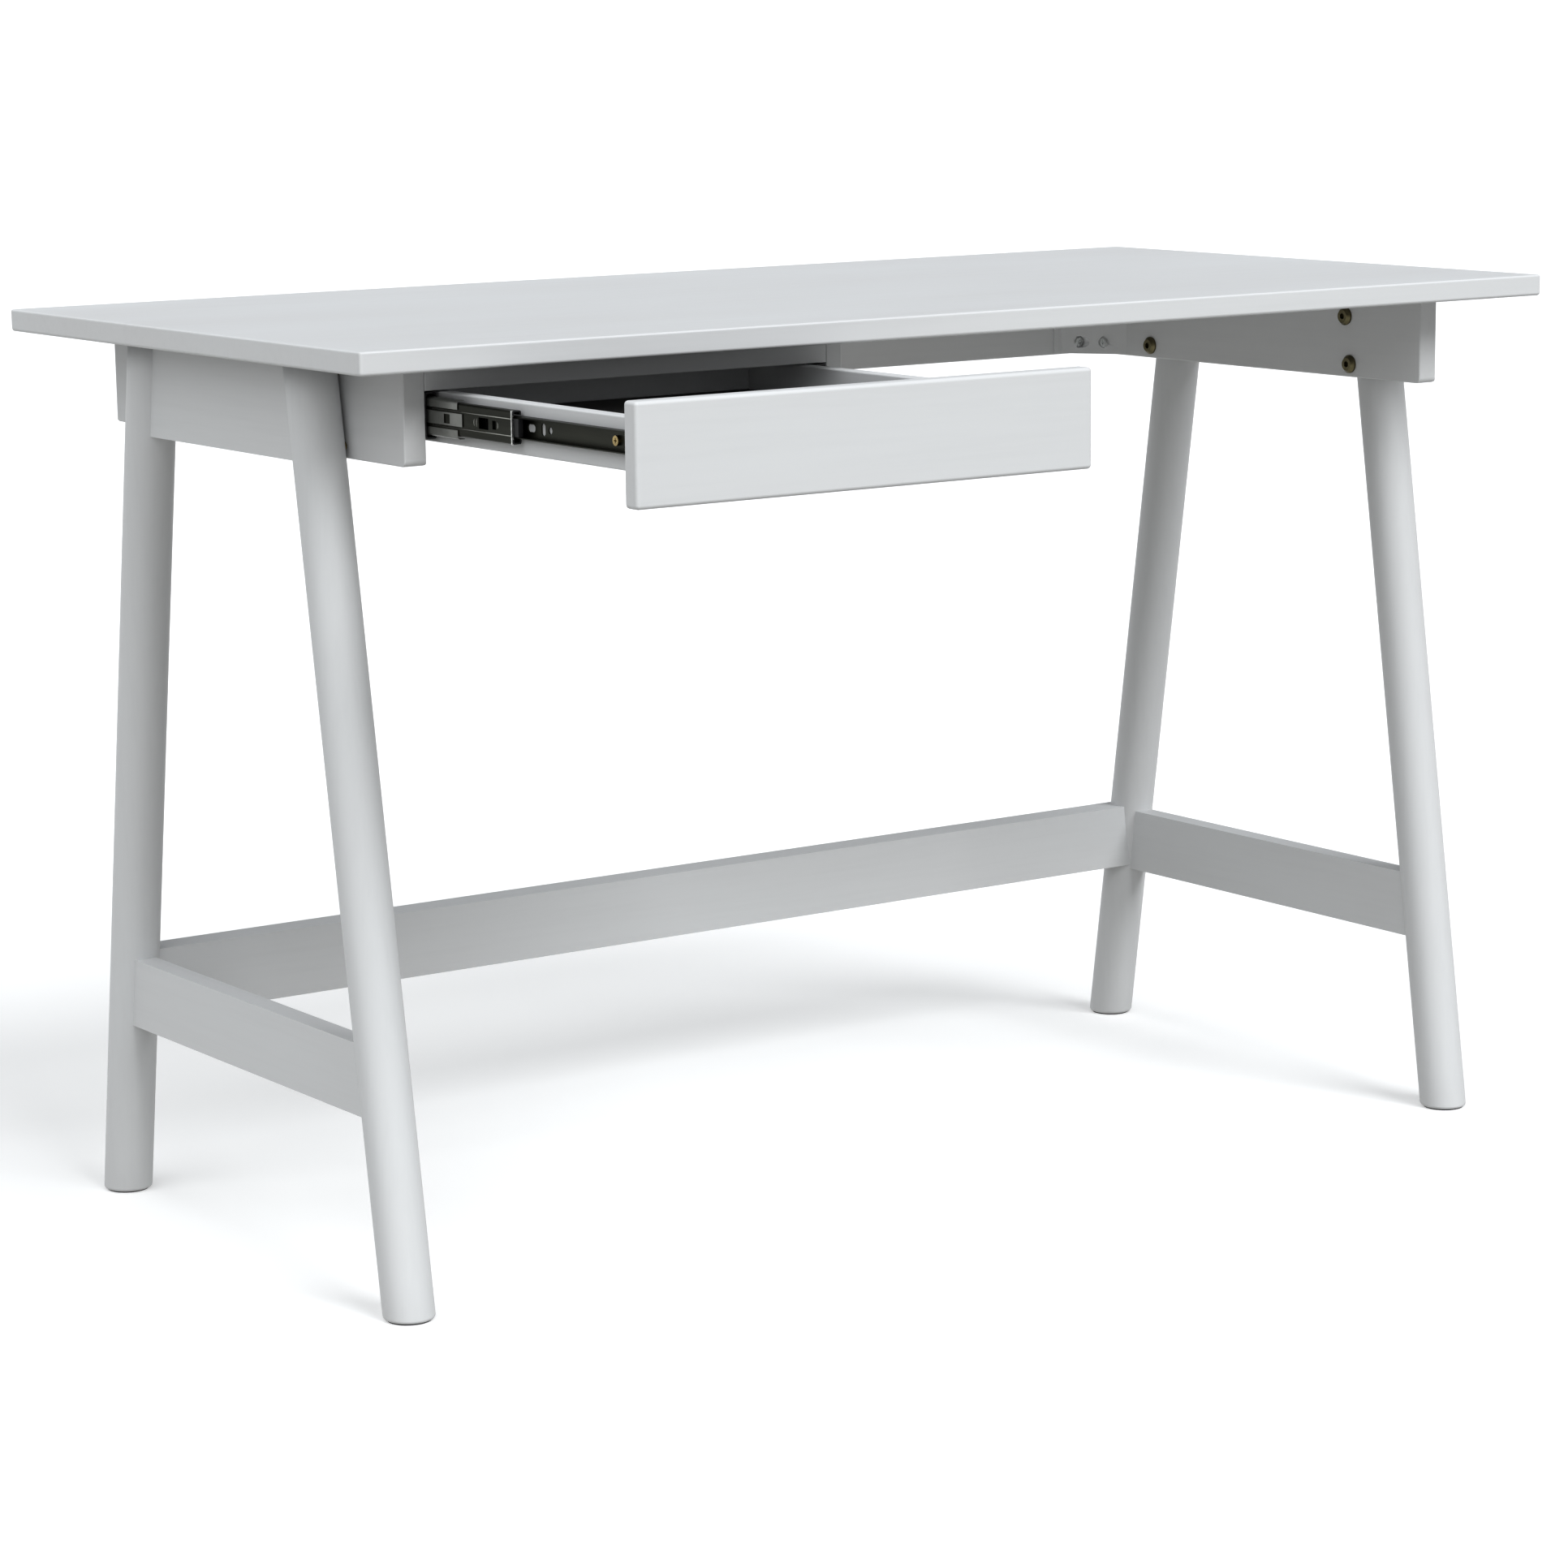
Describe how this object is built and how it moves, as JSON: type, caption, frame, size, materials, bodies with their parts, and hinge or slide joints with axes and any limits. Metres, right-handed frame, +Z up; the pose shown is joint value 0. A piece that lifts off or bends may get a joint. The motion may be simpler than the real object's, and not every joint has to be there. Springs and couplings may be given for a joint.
{
  "type": "writing desk with drawer",
  "caption": "Writing desk on two trestles with round splayed legs, with a shallow drawer under its left side on full-extension ball-bearing slides.",
  "frame": {"origin": "on the floor, under the middle of the box around the whole desk with the drawer drawn out as at rest; that is 129.5 mm in front of the middle of the desktop", "axes": "+X to the sitter's right along the desktop, +Y away from the sitter, +Z up"},
  "size_m": [1.18, 0.843, 0.75],
  "materials": {
    "white_lacquer": "satin white lacquer over solid wood, grain faintly visible",
    "dark_zinc": "dark olive-brown zinc plating",
    "bright_zinc": "bright zinc plating",
    "bronze_steel": "dark bronze coating",
    "brass": "plain brass",
    "black_plastic": "matt black plastic",
    "beech": "bare beech",
    "hardboard": "dark matt board"
  },
  "bodies": {
    "frame": {"desktop": "white_lacquer", "left_end_panel": "white_lacquer", "right_end_panel": "white_lacquer", "rear_apron": "white_lacquer", "front_rail": "white_lacquer", "drawer_divider": "white_lacquer", "rear_left_corner_block": "white_lacquer", "rear_right_corner_block": "white_lacquer", "front_left_leg": "white_lacquer", "rear_left_leg": "white_lacquer", "front_right_leg": "white_lacquer", "rear_right_leg": "white_lacquer", "left_trestle_rail": "white_lacquer", "right_trestle_rail": "white_lacquer", "left_side_stretcher": "white_lacquer", "right_side_stretcher": "white_lacquer", "rear_stretcher": "white_lacquer", "leg_bolts": "bronze_steel", "leg_inserts": "brass", "trestle_dowels": "beech", "apron_dowels": "beech", "corner_block_screws": "bright_zinc", "desktop_brackets": "bright_zinc", "desktop_bracket_screws": "bright_zinc", "front_rail_screws": "bright_zinc", "foot_glides": "black_plastic", "left_slide_outer_member": "dark_zinc", "right_slide_outer_member": "dark_zinc", "left_slide_front_cap": "black_plastic", "right_slide_front_cap": "black_plastic", "outer_member_screws": "bright_zinc"},
    "drawer": {"drawer_front": "white_lacquer", "drawer_left_side": "white_lacquer", "drawer_right_side": "white_lacquer", "drawer_back": "white_lacquer", "drawer_bottom": "hardboard", "drawer_cams": "bright_zinc", "drawer_cam_pins": "bright_zinc", "drawer_back_screws": "bright_zinc", "left_slide_inner_member": "dark_zinc", "right_slide_inner_member": "dark_zinc", "left_release_lever": "black_plastic", "right_release_lever": "black_plastic", "inner_member_screws": "brass"},
    "left_middle": {"left_slide_middle_member": "dark_zinc", "left_middle_bumper": "black_plastic"},
    "left_outer_cage": {"left_outer_ball_cage": "bright_zinc", "left_outer_balls": "bright_zinc"},
    "left_inner_cage": {"left_inner_ball_cage": "bright_zinc", "left_inner_balls": "bright_zinc"},
    "right_middle": {"right_slide_middle_member": "dark_zinc", "right_middle_bumper": "black_plastic"},
    "right_outer_cage": {"right_outer_ball_cage": "bright_zinc", "right_outer_balls": "bright_zinc"},
    "right_inner_cage": {"right_inner_ball_cage": "bright_zinc", "right_inner_balls": "bright_zinc"}
  },
  "joints": [
    {"name": "drawer_slide", "type": "slide", "parent": "frame", "child": "drawer", "axis": [0, -1, 0], "range_m": [-0.3, 0.049]},
    {"name": "left_middle_slide", "type": "slide", "parent": "frame", "child": "left_middle", "axis": [0, -1, 0], "range_m": [-0.1265, 0.0211]},
    {"name": "left_outer_cage_slide", "type": "slide", "parent": "frame", "child": "left_outer_cage", "axis": [0, -1, 0], "range_m": [-0.0635, 0.0108]},
    {"name": "left_inner_cage_slide", "type": "slide", "parent": "frame", "child": "left_inner_cage", "axis": [0, -1, 0], "range_m": [-0.2135, 0.0353]},
    {"name": "right_middle_slide", "type": "slide", "parent": "frame", "child": "right_middle", "axis": [0, -1, 0], "range_m": [-0.1265, 0.0211]},
    {"name": "right_outer_cage_slide", "type": "slide", "parent": "frame", "child": "right_outer_cage", "axis": [0, -1, 0], "range_m": [-0.0635, 0.0108]},
    {"name": "right_inner_cage_slide", "type": "slide", "parent": "frame", "child": "right_inner_cage", "axis": [0, -1, 0], "range_m": [-0.2135, 0.0353]}
  ],
  "couplings": [
    {"joint": "left_middle_slide", "follows": "drawer_slide", "ratio": 0.42},
    {"joint": "left_outer_cage_slide", "follows": "drawer_slide", "ratio": 0.21},
    {"joint": "left_inner_cage_slide", "follows": "drawer_slide", "ratio": 0.71},
    {"joint": "right_middle_slide", "follows": "drawer_slide", "ratio": 0.42},
    {"joint": "right_outer_cage_slide", "follows": "drawer_slide", "ratio": 0.21},
    {"joint": "right_inner_cage_slide", "follows": "drawer_slide", "ratio": 0.71}
  ]
}
